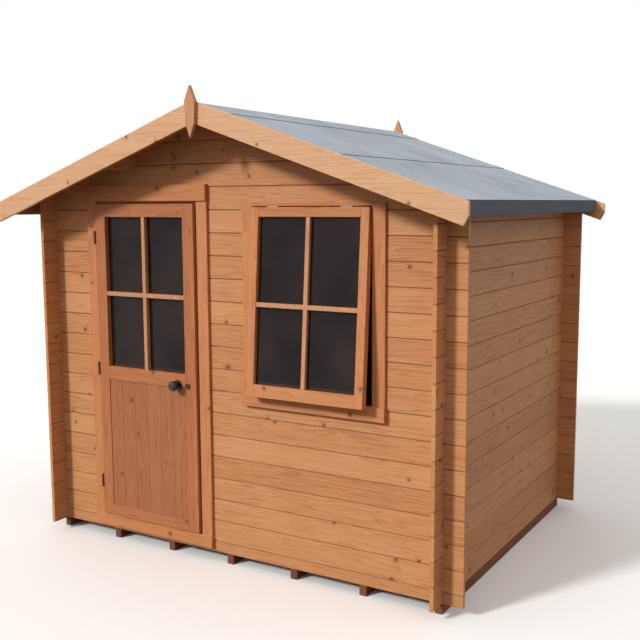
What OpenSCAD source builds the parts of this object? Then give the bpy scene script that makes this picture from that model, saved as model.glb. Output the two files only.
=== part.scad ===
// Small garden log cabin: interlocking logs on bearers, an apex roof covered with felt,
// a half-glazed door that opens outwards and a top-hung window propped open.
// Millimetres. +X runs to the right along the front, the front faces -Y, and +Z is up.
// The origin is on the ground, at the middle of the overall footprint.

/* [Walls] */
// Width of the cabin over the outer faces of the side walls
wall_w = 2360; // [2200:10:2600]
// Depth of the cabin over the outer faces of the front and rear walls
wall_d = 1770; // [1600:10:2200]
// Thickness of a wall log
log_t = 19; // [19:1:28]
// Height that one log covers in the wall
log_cover = 114; // [110:1:120]
// Full log courses in a side wall
side_courses = 16; // [16:1:17]
// How far the logs run past each corner
log_end = 100; // [80:5:140]
// Chamfer along the outer edges of a log
log_chamfer = 4; // [2:0.5:5]

/* [Base] */
// Number of bearers under the floor
bearer_count = 7; // [5:1:9]
// Width of a bearer
bearer_w = 38; // [35:1:50]
// Height of a bearer
bearer_h = 50; // [45:1:60]
// Thickness of the floor boards
floor_t = 16; // [12:1:19]
// Number of floor boards
floor_count = 15; // [12:1:18]

/* [Roof] */
// Pitch of the roof in degrees
roof_pitch = 19; // [17:0.5:20]
// Front overhang, from the wall to the outer face of the barge boards
roof_front = 240; // [220:5:300]
// Rear overhang, from the wall to the outer face of the barge boards
roof_rear = 155; // [100:5:200]
// Reach of the roof boards past the side walls
eave_reach = 138; // [110:1:160]
// Thickness of the roof boards
roof_board_t = 16; // [12:1:19]
// Number of roof boards on each slope
roof_board_count = 19; // [16:1:22]
// Thickness of one layer of felt
felt_t = 2.5; // [2:0.5:4]
// Distance from the ridge to the lower edge of the ridge strip, along the slope
ridge_strip_reach = 170; // [120:5:250]
// Distance from the ridge to the lower edge of the upper strip, along the slope
upper_strip_reach = 790; // [700:5:850]
// Width of the barge boards
barge_w = 98.8; // [90:0.1:110]
// Thickness of the barge boards and finials
barge_t = 19; // [16:1:22]
// Reach of the barge boards past the side walls
barge_reach = 192; // [160:1:220]
// Height of the finials
finial_h = 241; // [200:1:280]

/* [Door] */
// Distance of the door's middle to the left of the cabin's middle
door_offset = 506; // [480:1:540]
// Width of the door leaf
leaf_w = 663; // [640:1:680]
// Height of the door leaf
leaf_h = 1705; // [1680:1:1720]
// Thickness of the door leaf
leaf_t = 40; // [35:1:45]
// Width of the door's stiles
stile_w = 69; // [60:1:80]
// Gap between the leaf and its frame
leaf_gap = 6.5; // [6:0.5:8]

/* [Window] */
// Distance of the window's middle to the right of the cabin's middle
window_offset = 503; // [480:1:520]
// Width of the window sash
sash_w = 640; // [600:1:660]
// Height of the window sash
sash_h = 910; // [860:1:920]
// Thickness of the window sash
sash_t = 36; // [32:1:40]
// Angle at which the sash stands open, in degrees
sash_open = 4.3; // [2:0.1:6]

/* [Trims] */
// Width of the trims beside the door and window
trim_w = 66; // [60:1:75]
// Thickness of the trims
trim_t = 16; // [12:1:20]
// Thickness of the door and window linings
lining_t = 28; // [22:1:32]

/* [Hidden] */

$fn = 48;
eps = 1;                // overrun of a cutting solid
fit = 0.25;             // side clearance of a corner notch

// Walls
half_w = wall_w / 2;
front_y = (roof_front - roof_rear - wall_d) / 2;
rear_y = front_y + wall_d;
wall_z = bearer_h;
notch_h = log_cover / 4;
tongue_w = 6;
tongue_h = 5.5;
groove_play = 0.5;
inner_chamfer = 2;
top_log_extra = 14;     // the top side log is taller, for its bevel
gable_log_count = 19;   // full courses in an end wall, over its half log
log_len_x = wall_w + 2 * log_end;
log_len_y = wall_d + 2 * log_end;

// Roof: n is a height square to the slope, over the underside of the roof boards
slope = tan(roof_pitch);
wall_top_z = wall_z + side_courses * log_cover + top_log_extra;
ridge_under_z = wall_top_z + half_w * slope;
function roof_z(n, x) = ridge_under_z - abs(x) * slope + n / cos(roof_pitch);
barge_front_y = front_y - roof_front;
barge_rear_y = rear_y + roof_rear;
roof_y0 = barge_front_y + barge_t;
roof_y1 = barge_rear_y - barge_t;
eave_x = half_w + eave_reach;
board_gap = 1;
eaves_batten_w = 28;
eaves_batten_bottom = roof_z(0, eave_x) - 48;
lay_clear = 0.05;       // keeps the boards and the felt just off what they lie on
felt_n = roof_board_t + lay_clear;
lap = 60;
ridge_strip_x = ridge_strip_reach * cos(roof_pitch);
upper_strip_x = upper_strip_reach * cos(roof_pitch);
lower_strip_x = (upper_strip_reach - lap) * cos(roof_pitch);
barge_x = half_w + barge_reach;
barge_top_n = felt_n + 2 * felt_t + 7;
barge_plumb = 56;       // height of the plumb cut at a barge board's foot
purlin_w = 44;
purlin_h = 70;
purlin_x = 590;
mitre_gap = 0.5;

// Door
door_x = -door_offset;
leaf_front_y = front_y - 34;
leaf_z = 143;
leaf_top = leaf_z + leaf_h;
door_clear = leaf_w / 2 + leaf_gap;
door_rough = door_clear + lining_t;
lining_d = log_t + trim_t;
door_head_z = leaf_top + leaf_gap;
threshold_z = 71;
threshold_top = leaf_z - leaf_gap;
head_board_z = 1863;
head_board_h = 82;
head_board_t = 26;
stop_w = 14;
stop_t = 16;
leaf_back_y = leaf_front_y + leaf_t;
stop_y = leaf_back_y + 6;
inner_trim_w = 50;
top_rail_h = 67;
lock_rail_z = 904;
lock_rail_h = 72;
bottom_rail_h = 57;
glass_t = 4;
glass_inset = 27;
bar_w = 22;
bar_inset = 2;
bead_w = 13;
panel_t = 19;
panel_inset = 4;
panel_count = 6;
panel_gap = 1;
crack_w = 4;            // drying crack beside the last panel board
crack_h = 130;
inner_w = leaf_w - 2 * stile_w;
leaf_x0 = door_x - leaf_w / 2;
leaf_glass_z0 = lock_rail_z + lock_rail_h;
leaf_glass_z1 = leaf_top - top_rail_h;
cross_bar_z = 1372;

// Door ironmongery
knuckle_r = 5;
hinge_side = 3;         // from the pin's axis to the side of the leaf
hinge_x = leaf_x0 - hinge_side;
hinge_y = leaf_front_y - knuckle_r;
hinge_pin_r = 3;
hinge_pin_play = 0.3;
knuckle_h = 24;
hinge_plate_t = 2;
hinge_plate_w = 34;
hinge_knuckle_reach = 6;
hinge_heights = [330, 960, 1670];
knob_x = -294;
knob_z = 918;
key_x = -228;
knob_r = 26;
rose_r = 27;
rose_t = 4;
spindle_r = 6;
spindle_hole_r = 8;
neck_r = 9;
neck_hole_r = 11;
lock_w = 140;
lock_h = 90;
lock_t = 20;
lock_x0 = -330;
key_plate_r = 14;
key_plate_t = 7;

// Window
window_x = window_offset;
sash_play = 4;
sash_top = 1831;
sash_front_y = front_y - 34;
window_clear = sash_w / 2 + sash_play;
window_rough = window_clear + lining_t;
window_head_z = sash_top + sash_play;
window_top = 1850;
sill_lining_top = 917;
sill_lining_z = sill_lining_top - lining_t;
sill_board_z = 855;
sill_board_h = 70;
sill_board_t = 28;
sash_stile_w = 43;
sash_top_rail_h = 46;
sash_bottom_rail_h = 60;
sash_glass_inset = 22;
sash_bar_z = -465;
stay_w = 14;
stay_t = 4;

finial_half_w = 30;
finial_waist = 25;

// ---------- shapes that repeat ----------

// Section of a log: x is the depth from the outer face, y the height
module log_section(h, with_tongue, with_groove) {
  mid = log_t / 2;
  half_groove = (tongue_w + groove_play) / 2;
  groove_h = tongue_h + groove_play;
  half_tongue = tongue_w / 2;
  groove = with_groove
    ? [[mid - half_groove, 0], [mid - half_groove, groove_h],
       [mid + half_groove, groove_h], [mid + half_groove, 0]]
    : [];
  tongue = with_tongue
    ? [[mid + half_tongue, h], [mid + half_tongue, h + tongue_h],
       [mid - half_tongue, h + tongue_h], [mid - half_tongue, h]]
    : [];
  polygon(concat(
    [[log_chamfer, 0]], groove,
    [[log_t - inner_chamfer, 0], [log_t, inner_chamfer], [log_t, h - inner_chamfer],
     [log_t - inner_chamfer, h]], tongue,
    [[log_chamfer, h], [0, h - log_chamfer], [0, log_chamfer]]));
}

// A log that runs along X, with its outer face at y = 0 and its lower edge at z = 0
module log_along_x(h, with_tongue = true, with_groove = true) {
  translate([-log_len_x / 2, 0, 0]) rotate([90, 0, 90])
    linear_extrude(height = log_len_x) log_section(h, with_tongue, with_groove);
}

// A log that runs along Y, with its outer face at x = 0 and its inside towards +X
module log_along_y(h, with_tongue = true, with_groove = true) {
  translate([0, front_y - log_end + log_len_y, 0]) rotate([90, 0, 0])
    linear_extrude(height = log_len_y) log_section(h, with_tongue, with_groove);
}

// The notches of an end-wall log, where the side walls cross it
module end_log_notches(z0, h, lower) {
  for (side = [-1, 1]) {
    x0 = side < 0 ? -half_w - fit : half_w - log_t - fit;
    translate([x0, -eps, z0 + h - notch_h]) cube([log_t + 2 * fit, log_t + 2 * eps, log_cover]);
    if (lower)
      translate([x0, -eps, z0 - eps]) cube([log_t + 2 * fit, log_t + 2 * eps, notch_h + eps]);
  }
}

// The notches of a side-wall log, where the end walls cross it
module side_log_notches(z0) {
  for (y0 = [front_y - fit, rear_y - log_t - fit]) {
    translate([-eps, y0, z0 + log_cover - notch_h])
      cube([log_t + 2 * eps, log_t + 2 * fit, log_cover]);
    translate([-eps, y0, z0 - eps]) cube([log_t + 2 * eps, log_t + 2 * fit, notch_h + eps]);
  }
}

// Everything under the roof boards, as deep as an end wall
module under_roof() {
  reach = half_w + log_end + eps;
  translate([0, log_t + eps, 0]) rotate([90, 0, 0]) linear_extrude(height = log_t + 2 * eps)
    polygon([[-reach, 0], [reach, 0], [reach, roof_z(0, reach)], [0, ridge_under_z],
             [-reach, roof_z(0, reach)]]);
}

// Housings for the purlins in an end wall
module purlin_housings() {
  for (x = [-purlin_x, 0, purlin_x])
    translate([x - purlin_w / 2 - fit, -eps, roof_z(0, x) - purlin_h - fit])
      cube([purlin_w + 2 * fit, log_t + 2 * eps, purlin_h * 2]);
}

// Rough openings for the door and the window in the front wall
module front_openings() {
  translate([door_x - door_rough, -eps, threshold_z])
    cube([2 * door_rough, log_t + 2 * eps, door_head_z + lining_t - threshold_z]);
  translate([window_x - window_rough, -eps, sill_lining_z])
    cube([2 * window_rough, log_t + 2 * eps, window_top - sill_lining_z]);
}

// Every second log of an end wall, seen from outside. parity 0 takes the even courses;
// parity 1 takes the half log at the foot and the odd courses.
module end_wall(parity, has_openings) {
  difference() {
    union() {
      if (parity == 1) difference() {
        translate([0, 0, wall_z]) log_along_x(log_cover / 2, true, false);
        end_log_notches(wall_z, log_cover / 2, false);
      }
      for (k = [parity : 2 : gable_log_count - 1]) {
        z0 = wall_z + log_cover / 2 + k * log_cover;
        is_top = k == gable_log_count - 1;
        h = is_top ? ridge_under_z - z0 + eps : log_cover;
        intersection() {
          difference() {
            translate([0, 0, z0]) log_along_x(h, !is_top, true);
            if (z0 < wall_top_z) end_log_notches(z0, h, true);
          }
          if (z0 + 2 * log_cover > wall_top_z) under_roof();
        }
      }
    }
    purlin_housings();
    if (has_openings) front_openings();
  }
}

// Every second log of the left wall, with its outer face at x = 0
module left_wall(parity) {
  for (k = [parity : 2 : side_courses - 1]) {
    z0 = wall_z + k * log_cover;
    is_top = k == side_courses - 1;
    difference() {
      translate([0, 0, z0])
        log_along_y(is_top ? log_cover + top_log_extra + log_t : log_cover, !is_top, k > 0);
      side_log_notches(z0);
      if (is_top) side_top_bevel();
    }
  }
}

// Cuts the top of the left wall to the slope of the roof
module side_top_bevel() {
  translate([0, front_y + log_len_y, 0]) rotate([90, 0, 0]) linear_extrude(height = 2 * log_len_y)
    polygon([[-eps, wall_top_z - eps * slope], [log_t + eps, wall_top_z + (log_t + eps) * slope],
             [log_t + eps, wall_top_z + log_cover], [-eps, wall_top_z + log_cover]]);
}

// A thing and its mirror image on the other side of the cabin
module both_sides() {
  for (side = [0, 1]) mirror([side, 0, 0]) children();
}

// A flat outline in XZ drawn from y0 to y1
module slab_y(y0, y1) {
  translate([0, y1, 0]) rotate([90, 0, 0]) linear_extrude(height = y1 - y0) children();
}

// One picture-frame ring in XZ, of half width a and height h from z = 0, with bars w wide
module ring(a, h, w) {
  difference() {
    translate([-a, 0]) square([2 * a, h]);
    translate([-a + w, w]) square([2 * (a - w), h - 2 * w]);
  }
}

// Puts the window sash's own frame in place: x from its middle, y back from its face, z down
module at_sash() {
  translate([window_x, sash_front_y, sash_top]) rotate([-sash_open, 0, 0]) children();
}

// ---------- base ----------

module bearers() {
  pitch = (wall_w - bearer_w) / (bearer_count - 1);
  color("sienna") for (i = [0 : bearer_count - 1])
    translate([-half_w + i * pitch, front_y, 0]) cube([bearer_w, wall_d, bearer_h]);
}

module floor_boards() {
  depth = wall_d - 2 * log_t;
  pitch = depth / floor_count;
  width = wall_w - 2 * log_t - 2 * board_gap;
  color("burlywood") for (i = [0 : floor_count - 1])
    translate([-width / 2, front_y + log_t + i * pitch + board_gap / 2, bearer_h])
      cube([width, pitch - board_gap, floor_t]);
}

// ---------- walls ----------

module front_wall_even_logs() { color("peru") translate([0, front_y, 0]) end_wall(0, true); }
module front_wall_odd_logs() { color("peru") translate([0, front_y, 0]) end_wall(1, true); }
module rear_wall_even_logs() {
  color("peru") translate([0, rear_y, 0]) mirror([0, 1, 0]) end_wall(0, false);
}
module rear_wall_odd_logs() {
  color("peru") translate([0, rear_y, 0]) mirror([0, 1, 0]) end_wall(1, false);
}
module side_walls_even_logs() { color("peru") both_sides() translate([-half_w, 0, 0]) left_wall(0); }
module side_walls_odd_logs() { color("peru") both_sides() translate([-half_w, 0, 0]) left_wall(1); }

// ---------- door frame ----------

module door_lining() {
  color("peru") {
    slab_y(front_y, front_y + lining_d) translate([door_x, 0]) difference() {
      translate([-door_rough, threshold_top])
        square([2 * door_rough, door_head_z + lining_t - threshold_top]);
      translate([-door_clear, threshold_top - eps])
        square([2 * door_clear, door_head_z - threshold_top + eps]);
    }
    slab_y(stop_y, stop_y + stop_t) translate([door_x, 0]) difference() {
      translate([-door_clear - eps, threshold_top])
        square([2 * (door_clear + eps), door_head_z + eps - threshold_top]);
      translate([-door_clear + stop_w, threshold_top - eps])
        square([2 * (door_clear - stop_w), door_head_z - stop_w - threshold_top + eps]);
    }
  }
}

module door_threshold() {
  color("sienna") translate([door_x - door_rough, front_y, threshold_z])
    cube([2 * door_rough, lining_d, threshold_top - threshold_z]);
  color("sienna") translate([door_x - door_clear - trim_w, front_y - trim_t - 6, threshold_z])
    cube([2 * (door_clear + trim_w), trim_t + 6, threshold_top - threshold_z]);
}

module door_side_trims() {
  color("burlywood") for (x = [door_x - door_clear - trim_w, door_x + door_clear])
    translate([x, front_y - trim_t, threshold_top])
      cube([trim_w, trim_t, head_board_z - threshold_top]);
}

module door_head_board() {
  color("burlywood") translate([door_x - door_clear - trim_w, front_y - head_board_t, head_board_z])
    cube([2 * (door_clear + trim_w), head_board_t, head_board_h]);
}

module door_inner_trim() {
  inner_y = front_y + log_t;
  bottom = bearer_h + floor_t;
  top = door_head_z + lining_t;
  color("burlywood") slab_y(inner_y, inner_y + trim_t) translate([door_x, 0]) difference() {
    translate([-door_rough - inner_trim_w, bottom])
      square([2 * (door_rough + inner_trim_w), top + inner_trim_w - bottom]);
    translate([-door_rough, bottom - eps]) square([2 * door_rough, top - bottom + eps]);
  }
}

// ---------- door leaf ----------

module door_stiles() {
  color("peru") for (x = [leaf_x0, leaf_x0 + leaf_w - stile_w])
    translate([x, leaf_front_y, leaf_z]) cube([stile_w, leaf_t, leaf_h]);
}

module door_rails() {
  color("peru") difference() {
    for (r = [[leaf_z, bottom_rail_h], [lock_rail_z, lock_rail_h], [leaf_glass_z1, top_rail_h]])
      translate([leaf_x0 + stile_w, leaf_front_y, r[0]]) cube([inner_w, leaf_t, r[1]]);
    translate([knob_x, leaf_back_y + eps, knob_z]) rotate([90, 0, 0])
      cylinder(r = spindle_hole_r, h = leaf_t + 2 * eps);
  }
}

module door_panel_boards() {
  z0 = leaf_z + bottom_rail_h;
  pitch = inner_w / panel_count;
  right_x = leaf_x0 + leaf_w - stile_w;
  color("peru") difference() {
    for (i = [0 : panel_count - 1])
      translate([leaf_x0 + stile_w + i * pitch + panel_gap / 2, leaf_front_y + panel_inset, z0])
        cube([pitch - panel_gap, panel_t, lock_rail_z - z0]);
    translate([right_x - crack_w, leaf_front_y, lock_rail_z - crack_h])
      cube([crack_w + eps, leaf_t, crack_h + eps]);
  }
}

module door_glazing_bars() {
  y0 = leaf_front_y + bar_inset;
  color("burlywood") {
    translate([door_x - bar_w / 2, y0, leaf_glass_z0])
      cube([bar_w, glass_inset - bar_inset, leaf_glass_z1 - leaf_glass_z0]);
    translate([leaf_x0 + stile_w, y0, cross_bar_z - bar_w / 2])
      cube([inner_w, glass_inset - bar_inset, bar_w]);
  }
}

// The beads stand behind the glass; those in front are part of the mouldings of the frame
module door_glazing_beads() {
  y0 = leaf_front_y + glass_inset + glass_t;
  color("burlywood") slab_y(y0, y0 + leaf_t - glass_inset - glass_t) translate([door_x, leaf_glass_z0])
    ring(inner_w / 2, leaf_glass_z1 - leaf_glass_z0, bead_w);
}

module door_glass() {
  color("slategray", 0.5)
    translate([leaf_x0 + stile_w, leaf_front_y + glass_inset, leaf_glass_z0])
      cube([inner_w, glass_t, leaf_glass_z1 - leaf_glass_z0]);
}

// ---------- door ironmongery ----------

// One hinge leaf: from x0 its plate lies along the gap, with strips that reach the knuckles
module hinge_leaf(x0, strip_heights, strip_h) {
  translate([x0, hinge_knuckle_reach, -1.5 * knuckle_h])
    cube([hinge_plate_t, hinge_plate_w, 3 * knuckle_h]);
  for (z = strip_heights)
    translate([x0, 0, z - strip_h / 2]) cube([hinge_plate_t, hinge_knuckle_reach + eps, strip_h]);
}

module door_hinge_fixed_leaves() {
  outer = [-knuckle_h, knuckle_h];
  color("saddlebrown") for (z = hinge_heights) translate([hinge_x, hinge_y, z]) {
    for (dz = outer) translate([0, 0, dz - knuckle_h / 2]) cylinder(r = knuckle_r, h = knuckle_h);
    translate([0, 0, -knuckle_h * 1.5]) cylinder(r = hinge_pin_r, h = 3 * knuckle_h);
    hinge_leaf(hinge_side - leaf_gap, outer, knuckle_h);
  }
}

module door_hinge_moving_leaves() {
  play = 0.5;
  h = knuckle_h - 2 * play;
  color("saddlebrown") for (z = hinge_heights) translate([hinge_x, hinge_y, z]) difference() {
    union() {
      translate([0, 0, -h / 2]) cylinder(r = knuckle_r, h = h);
      hinge_leaf(hinge_side - hinge_plate_t, [0], h);
    }
    translate([0, 0, -knuckle_h]) cylinder(r = hinge_pin_r + hinge_pin_play, h = 2 * knuckle_h);
  }
}

module door_lock_case() {
  color("dimgray") difference() {
    translate([lock_x0, leaf_back_y, knob_z - lock_h / 2]) cube([lock_w, lock_t, lock_h]);
    translate([knob_x, leaf_back_y + lock_t + eps, knob_z]) rotate([90, 0, 0])
      cylinder(r = spindle_hole_r, h = lock_t + 2 * eps);
  }
}

module door_plates() {
  color("black") {
    translate([knob_x, leaf_front_y, knob_z]) rotate([90, 0, 0]) difference() {
      cylinder(r = rose_r, h = rose_t);
      translate([0, 0, -eps]) cylinder(r = neck_hole_r, h = rose_t + 2 * eps);
    }
    translate([key_x, leaf_front_y, knob_z]) rotate([90, 0, 0])
      cylinder(r = key_plate_r, h = key_plate_t);
  }
}

// Half section of a knob: x is the radius, y the distance from the spindle's end
module knob_section() {
  depth = 34;
  neck = 20;
  polygon([[0, 0], [neck_r, 0], [neck_r, neck - 4], [neck_r + 5, neck],
           [knob_r - 3, neck + 5], [knob_r, neck + 12], [knob_r, neck + 20],
           [knob_r - 4, neck + 28], [knob_r - 12, neck + depth - 1], [0, neck + depth]]);
}

module door_knob() {
  outer_y = leaf_front_y - 1;
  inner_y = leaf_back_y + lock_t + 1;
  color("black") translate([knob_x, 0, knob_z]) {
    translate([0, inner_y, 0]) rotate([90, 0, 0]) cylinder(r = spindle_r, h = inner_y - outer_y);
    translate([0, outer_y, 0]) rotate([90, 0, 0]) rotate_extrude() knob_section();
    translate([0, inner_y, 0]) rotate([-90, 0, 0]) rotate_extrude() knob_section();
  }
}

// ---------- window frame ----------

module window_lining() {
  head_t = window_top - window_head_z;
  color("peru") slab_y(front_y, front_y + lining_d) translate([window_x, 0]) difference() {
    translate([-window_rough, sill_lining_z]) square([2 * window_rough, window_top - sill_lining_z]);
    translate([-window_clear, sill_lining_top])
      square([2 * window_clear, window_top - head_t - sill_lining_top]);
  }
}

module window_side_trims() {
  z0 = sill_board_z + sill_board_h;
  color("burlywood") for (x = [window_x - window_clear - trim_w, window_x + window_clear])
    translate([x, front_y - trim_t, z0]) cube([trim_w, trim_t, window_top - z0]);
}

module window_sill_board() {
  half = window_clear + trim_w + 3;
  color("burlywood") translate([window_x - half, front_y - sill_board_t, sill_board_z])
    cube([2 * half, sill_board_t, sill_board_h]);
}

module window_head_strip() {
  color("burlywood") translate([window_x - window_clear, front_y - trim_t, window_head_z])
    cube([2 * window_clear, trim_t, window_top - window_head_z]);
}

module window_inner_trim() {
  inner_y = front_y + log_t;
  color("burlywood") slab_y(inner_y, inner_y + trim_t)
    translate([window_x, sill_lining_z - inner_trim_w])
      ring(window_rough + inner_trim_w, window_top - sill_lining_z + 2 * inner_trim_w, inner_trim_w);
}

// ---------- window sash, propped open ----------

module sash_stiles() {
  color("burlywood") at_sash() for (x = [-sash_w / 2, sash_w / 2 - sash_stile_w])
    translate([x, 0, -sash_h]) cube([sash_stile_w, sash_t, sash_h]);
}

module sash_rails() {
  width = sash_w - 2 * sash_stile_w;
  rails = [[-sash_h, sash_bottom_rail_h], [-sash_top_rail_h, sash_top_rail_h]];
  color("burlywood") at_sash() for (r = rails)
    translate([-width / 2, 0, r[0]]) cube([width, sash_t, r[1]]);
}

module sash_glazing_bars() {
  width = sash_w - 2 * sash_stile_w;
  height = sash_h - sash_top_rail_h - sash_bottom_rail_h;
  color("burlywood") at_sash() {
    translate([-bar_w / 2, bar_inset, sash_bottom_rail_h - sash_h])
      cube([bar_w, sash_glass_inset - bar_inset, height]);
    translate([-width / 2, bar_inset, sash_bar_z - bar_w / 2])
      cube([width, sash_glass_inset - bar_inset, bar_w]);
  }
}

module sash_glazing_beads() {
  height = sash_h - sash_top_rail_h - sash_bottom_rail_h;
  y0 = sash_glass_inset + glass_t;
  color("burlywood") at_sash() slab_y(y0, sash_t) translate([0, sash_bottom_rail_h - sash_h])
    ring(sash_w / 2 - sash_stile_w, height, bead_w);
}

module sash_glass() {
  width = sash_w - 2 * sash_stile_w;
  color("slategray", 0.5) at_sash() translate([-width / 2, sash_glass_inset, sash_bottom_rail_h - sash_h])
    cube([width, glass_t, sash_h - sash_top_rail_h - sash_bottom_rail_h]);
}

// Two flush hinges fill the wedge between the sash and the window head
module sash_hinges() {
  hinge_w = 60;
  near = 4;
  far = 24;
  fall = tan(sash_open);
  color("dimgray") for (x = [-200, 200])
    translate([window_x + x - hinge_w / 2, sash_front_y, sash_top]) rotate([90, 0, 90])
      linear_extrude(height = hinge_w)
        polygon([[near, -near * fall], [far, -far * fall], [far, sash_play], [near, sash_play]]);
}

// The stay is screwed inside the bottom rail and drops over a peg on the sill
module sash_stay() {
  plate_w = 24;
  plate_t = 3;
  plate_h = 30;
  arm_z = sash_top - sash_h + 24;
  arm_y0 = sash_front_y + sash_t - sash_h * sin(sash_open) + 1;
  peg_y = front_y + 12;
  peg_r = 4;
  color("dimgray") {
    at_sash() translate([-plate_w / 2, sash_t, 8 - sash_h]) cube([plate_w, plate_t, plate_h]);
    translate([window_x - stay_w / 2, arm_y0 + plate_t, arm_z])
      cube([stay_w, peg_y + stay_w / 2 - arm_y0 - plate_t, stay_t]);
    translate([window_x, peg_y, sill_lining_top]) cylinder(r = peg_r, h = arm_z - sill_lining_top + 6);
  }
}

// ---------- roof ----------

module purlins() {
  color("burlywood") for (x = [-purlin_x, 0, purlin_x])
    slab_y(roof_y0, roof_y1) intersection() {
      translate([x - purlin_w / 2, roof_z(0, x) - purlin_h]) square([purlin_w, purlin_h * 2]);
      polygon([[-half_w, 0], [half_w, 0], [half_w, roof_z(0, half_w)], [0, ridge_under_z],
               [-half_w, roof_z(0, half_w)]]);
    }
}

// The boards of the right-hand slope run from the ridge to the eaves
module right_slope_boards() {
  pitch = (roof_y1 - roof_y0) / roof_board_count;
  for (i = [0 : roof_board_count - 1])
    slab_y(roof_y0 + i * pitch + (i > 0 ? board_gap / 2 : 0),
           roof_y0 + (i + 1) * pitch - (i < roof_board_count - 1 ? board_gap / 2 : 0))
      polygon([[mitre_gap, roof_z(lay_clear, mitre_gap)], [eave_x, roof_z(lay_clear, eave_x)],
               [eave_x, roof_z(roof_board_t, eave_x)], [mitre_gap, roof_z(roof_board_t, mitre_gap)]]);
}

module roof_boards() { color("burlywood") both_sides() right_slope_boards(); }

module eaves_battens() {
  inner_x = eave_x - eaves_batten_w;
  color("burlywood") both_sides() slab_y(roof_y0, roof_y1)
    polygon([[inner_x, eaves_batten_bottom], [eave_x, eaves_batten_bottom],
             [eave_x, roof_z(0, eave_x)], [inner_x, roof_z(0, inner_x)]]);
}

// The lower strip folds down over the edge of the boards and the eaves batten
module felt_lower_strips() {
  fold_x = eave_x + lay_clear;
  outer_x = fold_x + felt_t;
  color("slategray") both_sides() slab_y(roof_y0, roof_y1)
    polygon([[lower_strip_x, roof_z(felt_n, lower_strip_x)], [fold_x, roof_z(felt_n, fold_x)],
             [fold_x, eaves_batten_bottom], [outer_x, eaves_batten_bottom],
             [outer_x, roof_z(felt_n + felt_t, outer_x)],
             [lower_strip_x, roof_z(felt_n + felt_t, lower_strip_x)]]);
}

// The upper strip laps over the lower one
module felt_upper_strips() {
  ramp = 6;
  step_x = lower_strip_x - 0.2;
  under_n = [felt_n, felt_n + felt_t + lay_clear];
  color("slategray") both_sides() slab_y(roof_y0, roof_y1)
    polygon([[mitre_gap, roof_z(under_n[0], mitre_gap)],
             [step_x - ramp, roof_z(under_n[0], step_x - ramp)],
             [step_x, roof_z(under_n[1], step_x)], [upper_strip_x, roof_z(under_n[1], upper_strip_x)],
             [upper_strip_x, roof_z(under_n[1] + felt_t, upper_strip_x)],
             [step_x, roof_z(under_n[1] + felt_t, step_x)],
             [step_x - ramp, roof_z(under_n[0] + felt_t, step_x - ramp)],
             [mitre_gap, roof_z(under_n[0] + felt_t, mitre_gap)]]);
}

module felt_ridge_strip() {
  n = felt_n + felt_t + lay_clear;
  color("slategray") slab_y(roof_y0, roof_y1)
    polygon([[-ridge_strip_x, roof_z(n, ridge_strip_x)], [0, roof_z(n, 0)],
             [ridge_strip_x, roof_z(n, ridge_strip_x)], [ridge_strip_x, roof_z(n + felt_t, ridge_strip_x)],
             [0, roof_z(n + felt_t, 0)], [-ridge_strip_x, roof_z(n + felt_t, ridge_strip_x)]]);
}

// ---------- barge boards and finials ----------

// A pair of barge boards whose top edges lie at height n over the roof boards' underside
module barge_pair(y0, n) {
  drop = barge_w / cos(roof_pitch);
  function top_z(x) = roof_z(n, x);
  foot_x = barge_x - (drop - barge_plumb) / (1 / tan(30) + slope);
  color("navajowhite") both_sides() slab_y(y0, y0 + barge_t)
    polygon([[mitre_gap, top_z(mitre_gap)], [barge_x, top_z(barge_x)],
             [barge_x, top_z(barge_x) - barge_plumb], [foot_x, top_z(foot_x) - drop],
             [mitre_gap, top_z(mitre_gap) - drop]]);
}

module barge_boards() {
  barge_pair(barge_front_y, barge_top_n);
  barge_pair(barge_rear_y - barge_t, roof_board_t);
}

module finials() {
  top = roof_z(barge_top_n, 0) + 67;
  color("navajowhite") for (y0 = [barge_front_y - barge_t, barge_rear_y])
    slab_y(y0, y0 + barge_t)
      polygon([[0, top], [finial_half_w, top - 72], [finial_waist, top - 174],
               [0, top - finial_h], [-finial_waist, top - 174], [-finial_half_w, top - 72]]);
}

bearers();
floor_boards();
front_wall_even_logs();
front_wall_odd_logs();
rear_wall_even_logs();
rear_wall_odd_logs();
side_walls_even_logs();
side_walls_odd_logs();
door_lining();
door_threshold();
door_side_trims();
door_head_board();
door_inner_trim();
door_stiles();
door_rails();
door_panel_boards();
door_glazing_bars();
door_glazing_beads();
door_glass();
door_hinge_fixed_leaves();
door_hinge_moving_leaves();
door_lock_case();
door_plates();
door_knob();
window_lining();
window_side_trims();
window_sill_board();
window_head_strip();
window_inner_trim();
sash_stiles();
sash_rails();
sash_glazing_bars();
sash_glazing_beads();
sash_glass();
sash_hinges();
sash_stay();
purlins();
roof_boards();
eaves_battens();
felt_lower_strips();
felt_upper_strips();
felt_ridge_strip();
barge_boards();
finials();
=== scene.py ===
"""Garden log cabin: finishes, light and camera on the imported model."""

import logging
import math
from dataclasses import dataclass, replace
from enum import Enum

import bmesh
import bpy
from mathutils import Matrix, Vector


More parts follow.
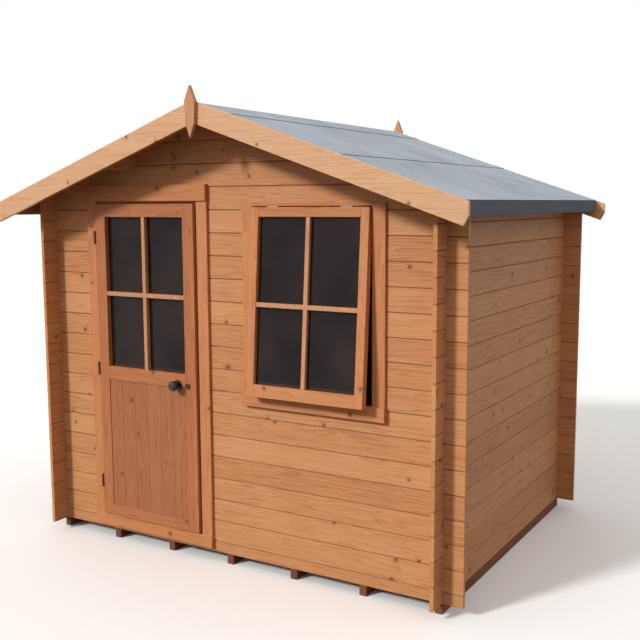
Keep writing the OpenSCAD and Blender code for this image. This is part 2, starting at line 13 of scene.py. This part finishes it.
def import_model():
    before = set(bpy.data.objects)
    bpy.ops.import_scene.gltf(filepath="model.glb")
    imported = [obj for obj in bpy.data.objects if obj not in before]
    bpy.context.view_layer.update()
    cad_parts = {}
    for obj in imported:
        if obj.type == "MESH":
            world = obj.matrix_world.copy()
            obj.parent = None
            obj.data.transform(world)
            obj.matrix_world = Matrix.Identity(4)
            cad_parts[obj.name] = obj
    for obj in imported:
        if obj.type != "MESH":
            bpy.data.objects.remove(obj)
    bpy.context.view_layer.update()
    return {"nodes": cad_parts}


LOG = logging.getLogger("log_cabin")
COURSE = 0.114  # height that one wall log covers, in metres
SEAM_WIDTH = 0.006  # how far the dark line between boards, stain and dirt with painted shade of the groove, reaches up each board, in metres
KNOT_CELL = 0.15  # usual distance between places where a knot may be, in metres
WELD_REACH = 0.00005  # points nearer than this are one corner, in metres
BEVEL_ANGLE = math.radians(40)  # edges sharper than this are broken
FLOOR_REACH = 30.0  # half the width of the floor, in metres
SUN_SPREAD = math.radians(9)  # width of the large lamp in the sky, for soft shadows
MIX_A, MIX_B, MIX_OUT = 6, 7, 2  # sockets of a mix node that mixes colours


class Grain(Enum):
    """The way the fibres of a piece run, and the face it shows: (along, across) axes."""

    FRONT_LOG = ("X", "Z")
    SIDE_LOG = ("Y", "Z")
    UPRIGHT = ("Z", "X")
    RAFTER = ("X", "Y")
    BEARER = ("Y", "X")


def to_linear(code: str) -> tuple[float, float, float, float]:
    """Turns an sRGB hex colour into linear light.

    Args:
        code: Colour as "#RRGGBB".

    Returns:
        Linear red, green and blue, with alpha 1.
    """
    values = [int(code[i : i + 2], 16) / 255.0 for i in (1, 3, 5)]
    linear = [v / 12.92 if v <= 0.04045 else ((v + 0.055) / 1.055) ** 2.4 for v in values]
    return (linear[0], linear[1], linear[2], 1.0)


def add_node(
    tree: bpy.types.NodeTree, kind: str, inputs: dict[str | int, object] | None = None, **settings: object
) -> bpy.types.Node:
    """Adds one shader node, with its settings, constants and links.

    Args:
        tree: Node tree that gets the node.
        kind: Blender's node type name.
        inputs: Input name or number to a constant, an output socket, or a node whose first output feeds it.
        **settings: Attributes of the node itself.

    Returns:
        The new node.
    """
    node = tree.nodes.new(kind)
    for name, value in settings.items():
        setattr(node, name, value)
    for key, value in (inputs or {}).items():
        if isinstance(value, bpy.types.Node):
            value = value.outputs[0]
        if isinstance(value, bpy.types.NodeSocket):
            tree.links.new(value, node.inputs[key])
        else:
            node.inputs[key].default_value = value
    return node


def set_ramp(node: bpy.types.Node, stops: list[tuple[float, str]]) -> None:
    """Gives a colour ramp its stops.

    Args:
        node: The colour ramp node.
        stops: Position and sRGB hex colour of each stop, in order.
    """
    elements = node.color_ramp.elements
    while len(elements) < len(stops):
        elements.new(0.5)
    for element, (position, code) in zip(elements, stops):
        element.position = position
        element.color = to_linear(code)


def start_material(name: str) -> tuple[bpy.types.Material, bpy.types.NodeTree, bpy.types.Node]:
    """Makes a material that holds only an output node.

    Args:
        name: Name of the material.

    Returns:
        The material, its node tree and its output node.
    """
    material = bpy.data.materials.new(name)
    material.use_nodes = True
    tree = material.node_tree
    tree.nodes.clear()
    return material, tree, add_node(tree, "ShaderNodeOutputMaterial")


def mask_seen(tree: bpy.types.NodeTree) -> bpy.types.Node:
    """Tells the rays that the eye follows, straight, mirrored or through glass, from the light's own.

    Args:
        tree: Node tree that gets the nodes.

    Returns:
        The node whose output is 1 for those rays.
    """
    path = add_node(tree, "ShaderNodeLightPath")
    seen = path.outputs["Is Camera Ray"]
    for name in ("Is Glossy Ray", "Is Transmission Ray"):
        seen = add_node(tree, "ShaderNodeMath", {0: seen, 1: path.outputs[name]}, operation="MAXIMUM")
    return seen


@dataclass(frozen=True)
class PlanedTimber:
    """Softwood with annual rings, knots and a tone of its own for each board.

    Attributes:
        name: Common name of the wood and how it was finished.
        dark: Latewood lines and resin streaks.
        middle: The wood's usual colour.
        light: Earlywood between the lines.
        knot: Heart of a knot.
        board: Width of one board across the grain, in metres.
        board_start: Where the first board begins across the grain, in metres.
        tone: How far boards differ in lightness, from 0.
        knots: Share of the possible places that hold a knot.
        ring: Spacing of the annual rings on the face, in metres.
        seam: How dark the line between two boards is drawn, from 0: stain and dirt in the groove, with
            painted shade of the groove.
        roughness: Roughness of the surface.
        coat: Weight of a clear coat.
    """

    name: str
    dark: str
    middle: str
    light: str
    knot: str
    board: float = COURSE
    board_start: float = 0.0
    tone: float = 0.22
    knots: float = 0.5
    ring: float = 0.009
    seam: float = 0.0
    roughness: float = 0.6
    coat: float = 0.0

    def build(self, grain: Grain) -> bpy.types.Material:
        """Makes the material for pieces whose fibres run one way.

        Args:
            grain: The way the fibres run.

        Returns:
            The material.
        """
        material, tree, out = start_material(f"{self.name}_{grain.name.lower()}")
        place = add_node(tree, "ShaderNodeTexCoord")
        axes = add_node(tree, "ShaderNodeSeparateXYZ", {0: place.outputs["Object"]})
        along, across = (axes.outputs[name] for name in grain.value)
        depth = next(axes.outputs[name] for name in "XYZ" if name not in grain.value)

        # Every board has a number, and chance gives it a tone and a stretch of the trunk
        shifted = add_node(tree, "ShaderNodeMath", {0: across, 1: self.board_start}, operation="SUBTRACT")
        board_at = add_node(tree, "ShaderNodeMath", {0: shifted, 1: self.board}, operation="DIVIDE")
        board_no = add_node(tree, "ShaderNodeMath", {0: board_at}, operation="FLOOR")
        layer = add_node(tree, "ShaderNodeMath", {0: depth, 1: 2.0}, operation="MULTIPLY")
        layer_no = add_node(tree, "ShaderNodeMath", {0: layer}, operation="FLOOR")
        tag = add_node(tree, "ShaderNodeCombineXYZ", {0: board_no, 1: layer_no, 2: self.board_start})
        luck = add_node(tree, "ShaderNodeTexWhiteNoise", {"Vector": tag}, noise_dimensions="3D")
        drift = add_node(tree, "ShaderNodeMath", {0: luck, 1: 7.3}, operation="MULTIPLY")
        along_here = add_node(tree, "ShaderNodeMath", {0: along, 1: drift}, operation="ADD")

        heart, halo = self._grow_knots(tree, along_here, across, board_no)
        bent = add_node(
            tree, "ShaderNodeMath", {0: halo, 1: self.ring * 1.6, 2: across}, operation="MULTIPLY_ADD"
        )
        rings, fibres = self._grow_rings(tree, along_here, bent, depth, drift)
        cloud = add_node(
            tree, "ShaderNodeTexNoise",
            {"Vector": place.outputs["Object"], "Scale": 2.6, "Detail": 3.0, "Roughness": 0.6},
        )

        # Rings, fibres, a slow cloud of stain and the board's own tone choose a place on the colour ramp
        level = add_node(tree, "ShaderNodeMath", {0: rings, 1: -0.34, 2: 0.30}, operation="MULTIPLY_ADD")
        level = add_node(tree, "ShaderNodeMath", {0: fibres, 1: 0.28, 2: level}, operation="MULTIPLY_ADD")
        level = add_node(tree, "ShaderNodeMath", {0: cloud, 1: 0.36, 2: level}, operation="MULTIPLY_ADD")
        tone = add_node(tree, "ShaderNodeMath", {0: luck, 1: 0.5}, operation="SUBTRACT")
        level = add_node(
            tree, "ShaderNodeMath", {0: tone, 1: self.tone * 2.0, 2: level}, operation="MULTIPLY_ADD"
        )
        wood = add_node(tree, "ShaderNodeValToRGB", {0: level})
        set_ramp(wood, [(0.05, self.dark), (0.5, self.middle), (0.95, self.light)])

        # Darker wood round the knots, their hearts, and the dark lines between boards: stain and dirt in the
        # groove, with painted shade of the groove
        to_joint = add_node(tree, "ShaderNodeMath", {0: board_at, 1: 0.5}, operation="PINGPONG")
        joint_dirt_and_shade = add_node(
            tree, "ShaderNodeMapRange",
            {0: to_joint, 1: 0.0, 2: SEAM_WIDTH / self.board, 3: self.seam, 4: 0.0},
            interpolation_type="SMOOTHSTEP",
        )
        colour = wood.outputs[0]
        for mask, share, code in ((halo, 0.35, self.dark), (heart, 0.8, self.knot), (joint_dirt_and_shade, 1.0, self.knot)):
            part = add_node(tree, "ShaderNodeMath", {0: mask, 1: share}, operation="MULTIPLY")
            colour = add_node(
                tree, "ShaderNodeMix", {0: part, MIX_A: colour, MIX_B: to_linear(code)}, data_type="RGBA"
            ).outputs[MIX_OUT]

        relief = add_node(tree, "ShaderNodeMath", {0: rings, 1: 0.5, 2: fibres}, operation="MULTIPLY_ADD")
        bump = add_node(tree, "ShaderNodeBump", {"Height": relief, "Strength": 0.35, "Distance": 0.0006})
        gloss = add_node(
            tree, "ShaderNodeMath", {0: fibres, 1: 0.16, 2: self.roughness - 0.08}, operation="MULTIPLY_ADD"
        )
        surface = add_node(
            tree, "ShaderNodeBsdfPrincipled",
            {"Base Color": colour, "Roughness": gloss, "Normal": bump, "IOR": 1.5,
             "Specular IOR Level": 0.32, "Coat Weight": self.coat, "Coat Roughness": 0.35},
        )
        tree.links.new(surface.outputs[0], out.inputs[0])
        return material

    def _grow_knots(
        self, tree: bpy.types.NodeTree, along: bpy.types.Node, across: bpy.types.NodeSocket,
        board_no: bpy.types.Node,
    ) -> tuple[bpy.types.Node, bpy.types.Node]:
        """Adds knots: round hearts 10 to 25 mm across, where branches met the face.

        Args:
            tree: Node tree that gets the nodes.
            along: Distance along the fibres, shifted for each board.
            across: Distance across them.
            board_no: Number of the board.

        Returns:
            Masks of the hearts and of the bent wood round them.
        """
        flat = add_node(tree, "ShaderNodeCombineXYZ", {0: along, 1: across, 2: board_no})
        cells = add_node(
            tree, "ShaderNodeTexVoronoi", {"Vector": flat, "Scale": 1.0 / KNOT_CELL, "Randomness": 0.9},
            voronoi_dimensions="2D",
        )
        chance = add_node(tree, "ShaderNodeSeparateColor", {0: cells.outputs["Color"]})
        kept = add_node(tree, "ShaderNodeMath", {0: chance, 1: self.knots}, operation="LESS_THAN")
        radius = add_node(
            tree, "ShaderNodeMath", {0: chance.outputs[1], 1: 0.035, 2: 0.045}, operation="MULTIPLY_ADD"
        )
        reach = add_node(tree, "ShaderNodeMath", {0: cells, 1: radius}, operation="DIVIDE")
        masks = []
        for near, far in ((0.75, 1.15), (0.9, 3.2)):
            fade = add_node(
                tree, "ShaderNodeMapRange", {0: reach, 1: near, 2: far, 3: 1.0, 4: 0.0},
                interpolation_type="SMOOTHSTEP",
            )
            masks.append(add_node(tree, "ShaderNodeMath", {0: fade, 1: kept}, operation="MULTIPLY"))
        return masks[0], masks[1]

    def _grow_rings(
        self, tree: bpy.types.NodeTree, along: bpy.types.Node, bent: bpy.types.Node,
        depth: bpy.types.NodeSocket, drift: bpy.types.Node,
    ) -> tuple[bpy.types.Node, bpy.types.Node]:
        """Adds annual rings and fibres: long streaks that bend round the knots.

        Args:
            tree: Node tree that gets the nodes.
            along: Distance along the fibres, shifted for each board.
            bent: Distance across them, pushed aside by the knots.
            depth: Distance into the face.
            drift: The board's own shift.

        Returns:
            The rings, 0 to 1 across each, and the noise of the fibres.
        """
        drawn_out = add_node(tree, "ShaderNodeMath", {0: along, 1: 0.05}, operation="MULTIPLY")
        moved = add_node(tree, "ShaderNodeMath", {0: depth, 1: drift}, operation="ADD")
        stretch = add_node(tree, "ShaderNodeCombineXYZ", {0: drawn_out, 1: bent, 2: moved})
        broad = add_node(
            tree, "ShaderNodeTexNoise", {"Vector": stretch, "Scale": 22.0, "Detail": 3.0, "Roughness": 0.55}
        )
        fibres = add_node(
            tree, "ShaderNodeTexNoise", {"Vector": stretch, "Scale": 420.0, "Detail": 2.0, "Roughness": 0.6}
        )
        even = add_node(tree, "ShaderNodeMath", {0: bent, 1: self.ring * 2.2}, operation="DIVIDE")
        ring_at = add_node(
            tree, "ShaderNodeMath", {0: broad, 1: 0.07 / self.ring, 2: even}, operation="MULTIPLY_ADD"
        )
        saw = add_node(tree, "ShaderNodeMath", {0: ring_at}, operation="FRACT")
        return add_node(tree, "ShaderNodeMath", {0: saw, 1: 2.2}, operation="POWER"), fibres


@dataclass(frozen=True)
class MineralFelt:
    """Bitumen roofing felt with crushed slate rolled into its face: a dry, even grain.

    Attributes:
        shade: Bitumen between the grit.
        middle: Slate grit.
        light: Bright faces of the grit.
        fold_painted_shade: Painted shade on the upright faces of the fold over the eaves.
        grit: Size of the grit; real grit is 1 mm, drawn at 3 mm so that it shows.
    """

    shade: str = "#6F767E"
    middle: str = "#A0A7AF"
    light: str = "#C2C8CE"
    fold_painted_shade: str = "#565A61"
    grit: float = 0.003

    def build(self) -> bpy.types.Material:
        """Makes the material.

        Returns:
            The material.
        """
        material, tree, out = start_material("bitumen_felt_slate_grit")
        place = add_node(tree, "ShaderNodeTexCoord")
        grit = add_node(
            tree, "ShaderNodeTexNoise",
            {"Vector": place.outputs["Object"], "Scale": 1.0 / self.grit, "Detail": 2.0, "Roughness": 0.7},
        )
        cloud = add_node(
            tree, "ShaderNodeTexNoise",
            {"Vector": place.outputs["Object"], "Scale": 3.0, "Detail": 4.0, "Roughness": 0.6},
        )
        speckle = add_node(tree, "ShaderNodeMath", {0: grit, 1: 1.3, 2: -0.38}, operation="MULTIPLY_ADD")
        level = add_node(tree, "ShaderNodeMath", {0: cloud, 1: 0.45, 2: speckle}, operation="MULTIPLY_ADD")
        colour = add_node(tree, "ShaderNodeValToRGB", {0: level})
        set_ramp(colour, [(0.2, self.shade), (0.5, self.middle), (0.8, self.light)])
        # The fold over the eaves and other upright faces get painted shade, darker the steeper the face
        facing = add_node(tree, "ShaderNodeSeparateXYZ", {0: place.outputs["Normal"]})
        upright = add_node(
            tree, "ShaderNodeMapRange", {0: facing.outputs["Z"], 1: 0.35, 2: 0.8, 3: 0.9, 4: 0.0},
            interpolation_type="SMOOTHSTEP",
        )
        colour = add_node(
            tree, "ShaderNodeMix",
            {0: upright, MIX_A: colour, MIX_B: to_linear(self.fold_painted_shade)},
            data_type="RGBA",
        )
        bump = add_node(tree, "ShaderNodeBump", {"Height": grit, "Strength": 0.5, "Distance": 0.0015})
        surface = add_node(
            tree, "ShaderNodeBsdfPrincipled",
            {"Base Color": colour.outputs[MIX_OUT], "Roughness": 0.92, "Normal": bump,
             "IOR": 1.5, "Specular IOR Level": 0.25},
        )
        tree.links.new(surface.outputs[0], out.inputs[0])
        return material


@dataclass(frozen=True)
class FloatGlass:
    """Float glass drawn nearly black, the painted shade of the unlit room behind it, with a faint film of
    dust.

    Attributes:
        clear: Painted shade of the unlit room behind the pane, where the pane is clean.
        dust_over_painted_shade: The same painted shade, a little lighter where dust has settled.
        alpha: How much the pane hides.
    """

    clear: str = "#201819"
    dust_over_painted_shade: str = "#382B2A"
    alpha: float = 0.76

    def build(self) -> bpy.types.Material:
        """Makes the material.

        Returns:
            The material.
        """
        material, tree, out = start_material("float_glass_painted_room_shade")
        place = add_node(tree, "ShaderNodeTexCoord")
        film = add_node(
            tree, "ShaderNodeTexNoise",
            {"Vector": place.outputs["Object"], "Scale": 4.0, "Detail": 3.0, "Roughness": 0.5},
        )
        # The pane's near-black colour is painted shade of the unlit room behind it, lightened a little where
        # dust lies
        colour = add_node(tree, "ShaderNodeValToRGB", {0: film})
        set_ramp(colour, [(0.35, self.clear), (0.75, self.dust_over_painted_shade)])
        surface = add_node(
            tree, "ShaderNodeBsdfPrincipled",
            {"Base Color": colour, "Roughness": 0.06, "IOR": 1.5, "Alpha": self.alpha,
             "Specular IOR Level": 0.2},
        )
        tree.links.new(surface.outputs[0], out.inputs[0])
        return material


@dataclass(frozen=True)
class Ironmongery:
    """Cast or pressed metal with a faint mottle from plating or lacquer.

    Attributes:
        name: Common name of the metal and its coating.
        dark: Colour in the hollows of the mottle.
        light: Colour on its highs.
        metallic: 0 for lacquer, 1 for bare plate.
        roughness: Roughness of the surface.
    """

    name: str
    dark: str
    light: str
    metallic: float
    roughness: float

    def build(self) -> bpy.types.Material:
        """Makes the material.

        Returns:
            The material.
        """
        material, tree, out = start_material(self.name)
        place = add_node(tree, "ShaderNodeTexCoord")
        mottle = add_node(
            tree, "ShaderNodeTexNoise",
            {"Vector": place.outputs["Object"], "Scale": 180.0, "Detail": 3.0, "Roughness": 0.6},
        )
        colour = add_node(tree, "ShaderNodeValToRGB", {0: mottle})
        set_ramp(colour, [(0.3, self.dark), (0.7, self.light)])
        bump = add_node(tree, "ShaderNodeBump", {"Height": mottle, "Strength": 0.12, "Distance": 0.0004})
        surface = add_node(
            tree, "ShaderNodeBsdfPrincipled",
            {"Base Color": colour, "Metallic": self.metallic, "Roughness": self.roughness, "Normal": bump},
        )
        tree.links.new(surface.outputs[0], out.inputs[0])
        return material


# Stained spruce logs: golden brown, a little orange, with dark knots and a satin face
STAINED_LOG = PlanedTimber(
    "spruce_log_stained", "#9C5E37", "#C48655", "#D79F70", "#6A3A24", tone=0.10, knots=0.26, seam=0.5
)
# Stained spruce trims: as the logs, with long straight grain and a redder tone
STAINED_TRIM = PlanedTimber(
    "spruce_trim_stained", "#9A5632", "#C27C4B", "#D39462", "#6A3824",
    board=0.4, board_start=-0.2, tone=0.06, knots=0.22,
)
# Door leaf: close-grained rails and stiles, a deeper brown than the trims round them
STAINED_LEAF = PlanedTimber(
    "spruce_leaf_stained", "#8C4A2A", "#B16B3F", "#C08053", "#643522",
    board=0.4, board_start=-0.2, tone=0.06, knots=0.22,
)
# Door panel boards: matchboards, drawn darker than the rails and stiles
STAINED_PANEL = PlanedTimber(
    "spruce_matchboard_stained", "#864A2A", "#A4653E", "#B47850", "#643522",
    board=0.0875, board_start=-0.7685, tone=0.06, knots=0.3,
)
# Planed pine under a clear coat: the palest wood, honey coloured
PALE_PINE = PlanedTimber(
    "pine_planed_clear_coat", "#B98254", "#D5A277", "#E0B48C", "#7A4A2C",
    board=0.5, board_start=-0.25, tone=0.05, knots=0.35, roughness=0.5, coat=0.1,
)
# Planed pine that took a little stain: the finials, a shade redder than the barge boards
REDDER_PINE = PlanedTimber(
    "pine_planed_light_stain", "#A3653A", "#C3885D", "#D09A6F", "#7A4A2C",
    board=0.5, board_start=-0.25, tone=0.05, knots=0.1, roughness=0.5, coat=0.1,
)
# Rough sawn bearers, pressure treated: red brown and dull
TREATED_BEARER = PlanedTimber(
    "pine_sawn_pressure_treated", "#4E2C20", "#764530", "#8A573C", "#2E170F",
    board=0.387, board_start=-1.374, tone=0.1, knots=0.3, roughness=0.8,
)
# Bare planed spruce inside and under the roof: pale straw
BARE_SPRUCE = PlanedTimber(
    "spruce_planed_bare", "#996640", "#BC8B5C", "#D0A678", "#5E3620",
    board=0.112, tone=0.1, knots=0.35, roughness=0.65,
)
# Cast iron under black lacquer: near black, with soft bright glints on the knobs
BLACK_IRON = Ironmongery("iron_black_lacquer", "#121116", "#232128", 0.0, 0.28)
# Pressed steel under brown lacquer: hinges that nearly vanish against the stain
BROWN_STEEL = Ironmongery("steel_pressed_brown_lacquer", "#5C3524", "#7C4B33", 0.0, 0.45)
# Pressed steel under zinc plate: a dull grey metal shine
ZINC_STEEL = Ironmongery("steel_pressed_zinc_plate", "#77797B", "#A2A4A6", 1.0, 0.42)


def dress(node: bpy.types.Object, material: bpy.types.Material, bevel: float = 0.0) -> None:
    """Gives a CAD node its material, and breaks its sharp edges where asked.

    Args:
        node: The CAD node's object.
        material: Its finish.
        bevel: Width of the broken edge in metres, or 0 for none.
    """
    if not node.material_slots:
        node.data.materials.append(material)
    for slot in node.material_slots:
        slot.material = material
    if bevel:
        weld = node.modifiers.new("weld", "WELD")
        weld.merge_threshold = WELD_REACH
        edge = node.modifiers.new("broken_edges", "BEVEL")
        edge.width = bevel
        edge.segments = 1
        edge.limit_method = "ANGLE"
        edge.angle_limit = BEVEL_ANGLE


@dataclass
class SubAssembly:
    """Pieces that are dressed together.

    Attributes:
        nodes: The frame's CAD nodes.
        broken_edge: Width of the planed-off edges, in metres.
    """

    nodes: dict[str, bpy.types.Object]
    broken_edge: float = 0.0012

    def finish_nodes(self, names: list[str], material: bpy.types.Material, bevel: float = 0.0) -> None:
        """Dresses several nodes alike.

        Args:
            names: Names of the nodes.
            material: Their finish.
            bevel: Width of their broken edges in metres.
        """
        for name in names:
            dress(self.nodes[name], material, bevel)
            LOG.info("dressed %s with %s", name, material.name)


@dataclass
class Base(SubAssembly):
    """The bearers and the floor."""

    def build(self) -> None:
        """Dresses the base."""
        self.finish_nodes(["bearers"], TREATED_BEARER.build(Grain.BEARER), self.broken_edge)
        self.finish_nodes(["floor_boards"], BARE_SPRUCE.build(Grain.RAFTER))


@dataclass
class Walls(SubAssembly):
    """The four log walls.

    Attributes:
        end_course: Height of the lowest seam of the front and rear walls.
        side_course: Height of the lowest edge of the side walls.
    """

    end_course: float = 0.107
    side_course: float = 0.050

    def build(self) -> None:
        """Dresses the logs, each course with a tone of its own."""
        ends = replace(STAINED_LOG, board_start=self.end_course).build(Grain.FRONT_LOG)
        sides = replace(STAINED_LOG, board_start=self.side_course).build(Grain.SIDE_LOG)
        for parity in ("even", "odd"):
            names = [f"front_wall_{parity}_logs", f"rear_wall_{parity}_logs"]
            self.finish_nodes(names, ends)
            self.finish_nodes([f"side_walls_{parity}_logs"], sides)


@dataclass
class Door(SubAssembly):
    """The door, its frame and its ironmongery."""

    def build(self) -> None:
        """Dresses the door."""
        upright = STAINED_TRIM.build(Grain.UPRIGHT)
        level = STAINED_TRIM.build(Grain.FRONT_LOG)
        glass = FloatGlass().build()
        iron = BLACK_IRON.build()
        zinc = ZINC_STEEL.build()
        edge = self.broken_edge
        self.finish_nodes(["door_lining", "door_side_trims", "door_inner_trim"], upright, edge)
        self.finish_nodes(["door_head_board", "door_threshold"], level, edge)
        self.finish_nodes(["door_stiles"], STAINED_LEAF.build(Grain.UPRIGHT), edge)
        self.finish_nodes(["door_rails"], STAINED_LEAF.build(Grain.FRONT_LOG), edge)
        self.finish_nodes(["door_panel_boards"], STAINED_PANEL.build(Grain.UPRIGHT), edge)
        self.finish_nodes(["door_glazing_bars", "door_glazing_beads"], REDDER_PINE.build(Grain.UPRIGHT), edge)
        self.finish_nodes(["door_glass"], glass)
        self.finish_nodes(["door_lock_case"], zinc)
        self.finish_nodes(["door_hinge_fixed_leaves", "door_hinge_moving_leaves"], BROWN_STEEL.build())
        self.finish_nodes(["door_plates", "door_knob"], iron)
        self.nodes["door_knob"].data.shade_smooth()


@dataclass
class Window(SubAssembly):
    """The propped window and its frame."""

    def build(self) -> None:
        """Dresses the window."""
        upright = STAINED_TRIM.build(Grain.UPRIGHT)
        level = STAINED_TRIM.build(Grain.FRONT_LOG)
        zinc = ZINC_STEEL.build()
        edge = self.broken_edge
        uprights = ["window_lining", "window_side_trims", "sash_stiles", "window_inner_trim"]
        self.finish_nodes(uprights, upright, edge)
        self.finish_nodes(["window_sill_board", "window_head_strip", "sash_rails"], level, edge)
        self.finish_nodes(["sash_glazing_bars", "sash_glazing_beads"], REDDER_PINE.build(Grain.UPRIGHT), edge)
        self.finish_nodes(["sash_glass"], FloatGlass().build())
        self.finish_nodes(["sash_hinges", "sash_stay"], zinc)


@dataclass
class Roof(SubAssembly):
    """The roof, its felt, barge boards and finials."""

    def build(self) -> None:
        """Dresses the roof."""
        felt = MineralFelt().build()
        self.finish_nodes(["roof_boards", "eaves_battens"], BARE_SPRUCE.build(Grain.RAFTER))
        self.finish_nodes(["purlins"], BARE_SPRUCE.build(Grain.BEARER), self.broken_edge)
        self.finish_nodes(["felt_lower_strips", "felt_upper_strips", "felt_ridge_strip"], felt)
        self.finish_nodes(["barge_boards"], PALE_PINE.build(Grain.FRONT_LOG), self.broken_edge)
        self.finish_nodes(["finials"], REDDER_PINE.build(Grain.UPRIGHT), self.broken_edge)


@dataclass
class Studio:
    """Floor, light and camera.

    Attributes:
        eye: Where the camera stands, in metres.
        turn: How far it is turned to the left of straight ahead, in degrees.
        dip: How far it looks down, in degrees.
        roll: How far it is rolled, in degrees.
        lens: Focal length for a 36 mm wide frame, in millimetres.
        zenith: Strength of the soft light from straight above.
        horizon: Strength of the soft light from the sides.
        sun: Strength of the large lamp.
        sun_from: Direction that the large lamp stands in.
        floor_pale: Colour of the floor as it is seen.
        floor_bounce: Colour that the floor throws back on the cabin.
    """

    eye: tuple[float, float, float] = (2.7469, -4.5301, 1.8443)
    turn: float = 30.849
    dip: float = 7.168
    roll: float = 0.253
    lens: float = 51.92
    zenith: float = 0.95
    horizon: float = 0.50
    sun: float = 2.5
    sun_from: tuple[float, float, float] = (-0.48, -0.95, 0.62)
    floor_pale: str = "#F4F2EF"
    floor_bounce: str = "#4E4A44"

    def build(self) -> None:
        """Makes the floor, the world, the sun and the camera."""
        self._floor()
        self._world()
        self._sun()
        self._camera()

    def _floor(self) -> None:
        """Makes a plain pale floor."""
        mesh = bpy.data.meshes.new("floor")
        form = bmesh.new()
        bmesh.ops.create_grid(form, x_segments=1, y_segments=1, size=FLOOR_REACH)
        form.to_mesh(mesh)
        form.free()
        floor = bpy.data.objects.new("floor", mesh)
        bpy.context.scene.collection.objects.link(floor)
        material, tree, out = start_material("studio_floor_matt_paint")
        tone = add_node(
            tree, "ShaderNodeMix",
            {0: mask_seen(tree), MIX_A: to_linear(self.floor_bounce), MIX_B: to_linear(self.floor_pale)},
            data_type="RGBA",
        )
        surface = add_node(
            tree, "ShaderNodeBsdfPrincipled",
            {"Base Color": tone.outputs[MIX_OUT], "Roughness": 0.9, "Specular IOR Level": 0.1},
        )
        tree.links.new(surface.outputs[0], out.inputs[0])
        mesh.materials.append(material)

    def _world(self) -> None:
        """Makes soft white light from all round, and a white background."""
        world = bpy.data.worlds.new("studio_world")
        bpy.context.scene.world = world
        world.use_nodes = True
        tree = world.node_tree
        tree.nodes.clear()
        out = add_node(tree, "ShaderNodeOutputWorld")
        place = add_node(tree, "ShaderNodeTexCoord")
        height = add_node(tree, "ShaderNodeSeparateXYZ", {0: place.outputs["Generated"]})
        level = add_node(
            tree, "ShaderNodeMapRange",
            {0: height.outputs["Z"], 1: 0.0, 2: 1.0, 3: self.horizon, 4: self.zenith},
        )
        soft = add_node(tree, "ShaderNodeBackground", {0: to_linear("#FFFFFF"), 1: level})
        white = add_node(tree, "ShaderNodeBackground", {0: to_linear("#FFFFFF"), 1: 1.0})
        mix = add_node(tree, "ShaderNodeMixShader", {0: mask_seen(tree), 1: soft, 2: white})
        tree.links.new(mix.outputs[0], out.inputs[0])

    def _sun(self) -> None:
        """Makes one large soft lamp far off to the front left."""
        lamp = bpy.data.lights.new("studio_sun", "SUN")
        lamp.energy = self.sun
        lamp.angle = SUN_SPREAD
        light = bpy.data.objects.new("studio_sun", lamp)
        light.rotation_euler = Vector(self.sun_from).to_track_quat("Z", "Y").to_euler()
        bpy.context.scene.collection.objects.link(light)

    def _camera(self) -> None:
        """Makes the camera."""
        yaw, dip, roll = (math.radians(v) for v in (self.turn, self.dip, self.roll))
        ahead = Vector((-math.sin(yaw) * math.cos(dip), math.cos(yaw) * math.cos(dip), -math.sin(dip)))
        right = Vector((math.cos(yaw), math.sin(yaw), 0.0))
        down = ahead.cross(right)
        rolled = right * math.cos(roll) + down * math.sin(roll)
        up = -(down * math.cos(roll) - right * math.sin(roll))
        lens = bpy.data.cameras.new("camera")
        lens.lens = self.lens
        lens.sensor_width = 36.0
        lens.clip_end = 200.0
        camera = bpy.data.objects.new("camera", lens)
        turn = Matrix((rolled, up, -ahead)).transposed().to_4x4()
        camera.matrix_world = Matrix.Translation(self.eye) @ turn
        bpy.context.scene.collection.objects.link(camera)
        bpy.context.scene.camera = camera
        bpy.context.scene.view_settings.view_transform = "Standard"


def main() -> None:
    """Loads the frame and builds every sub-assembly in order."""
    logging.basicConfig(level=logging.INFO, format="%(name)s: %(message)s")
    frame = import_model()
    nodes = frame["nodes"]
    for part in (Base(nodes), Walls(nodes), Door(nodes), Window(nodes), Roof(nodes)):
        part.build()
        LOG.info("built %s", type(part).__name__)
    Studio().build()
    bpy.context.view_layer.update()


if __name__ == "__main__":
    main()
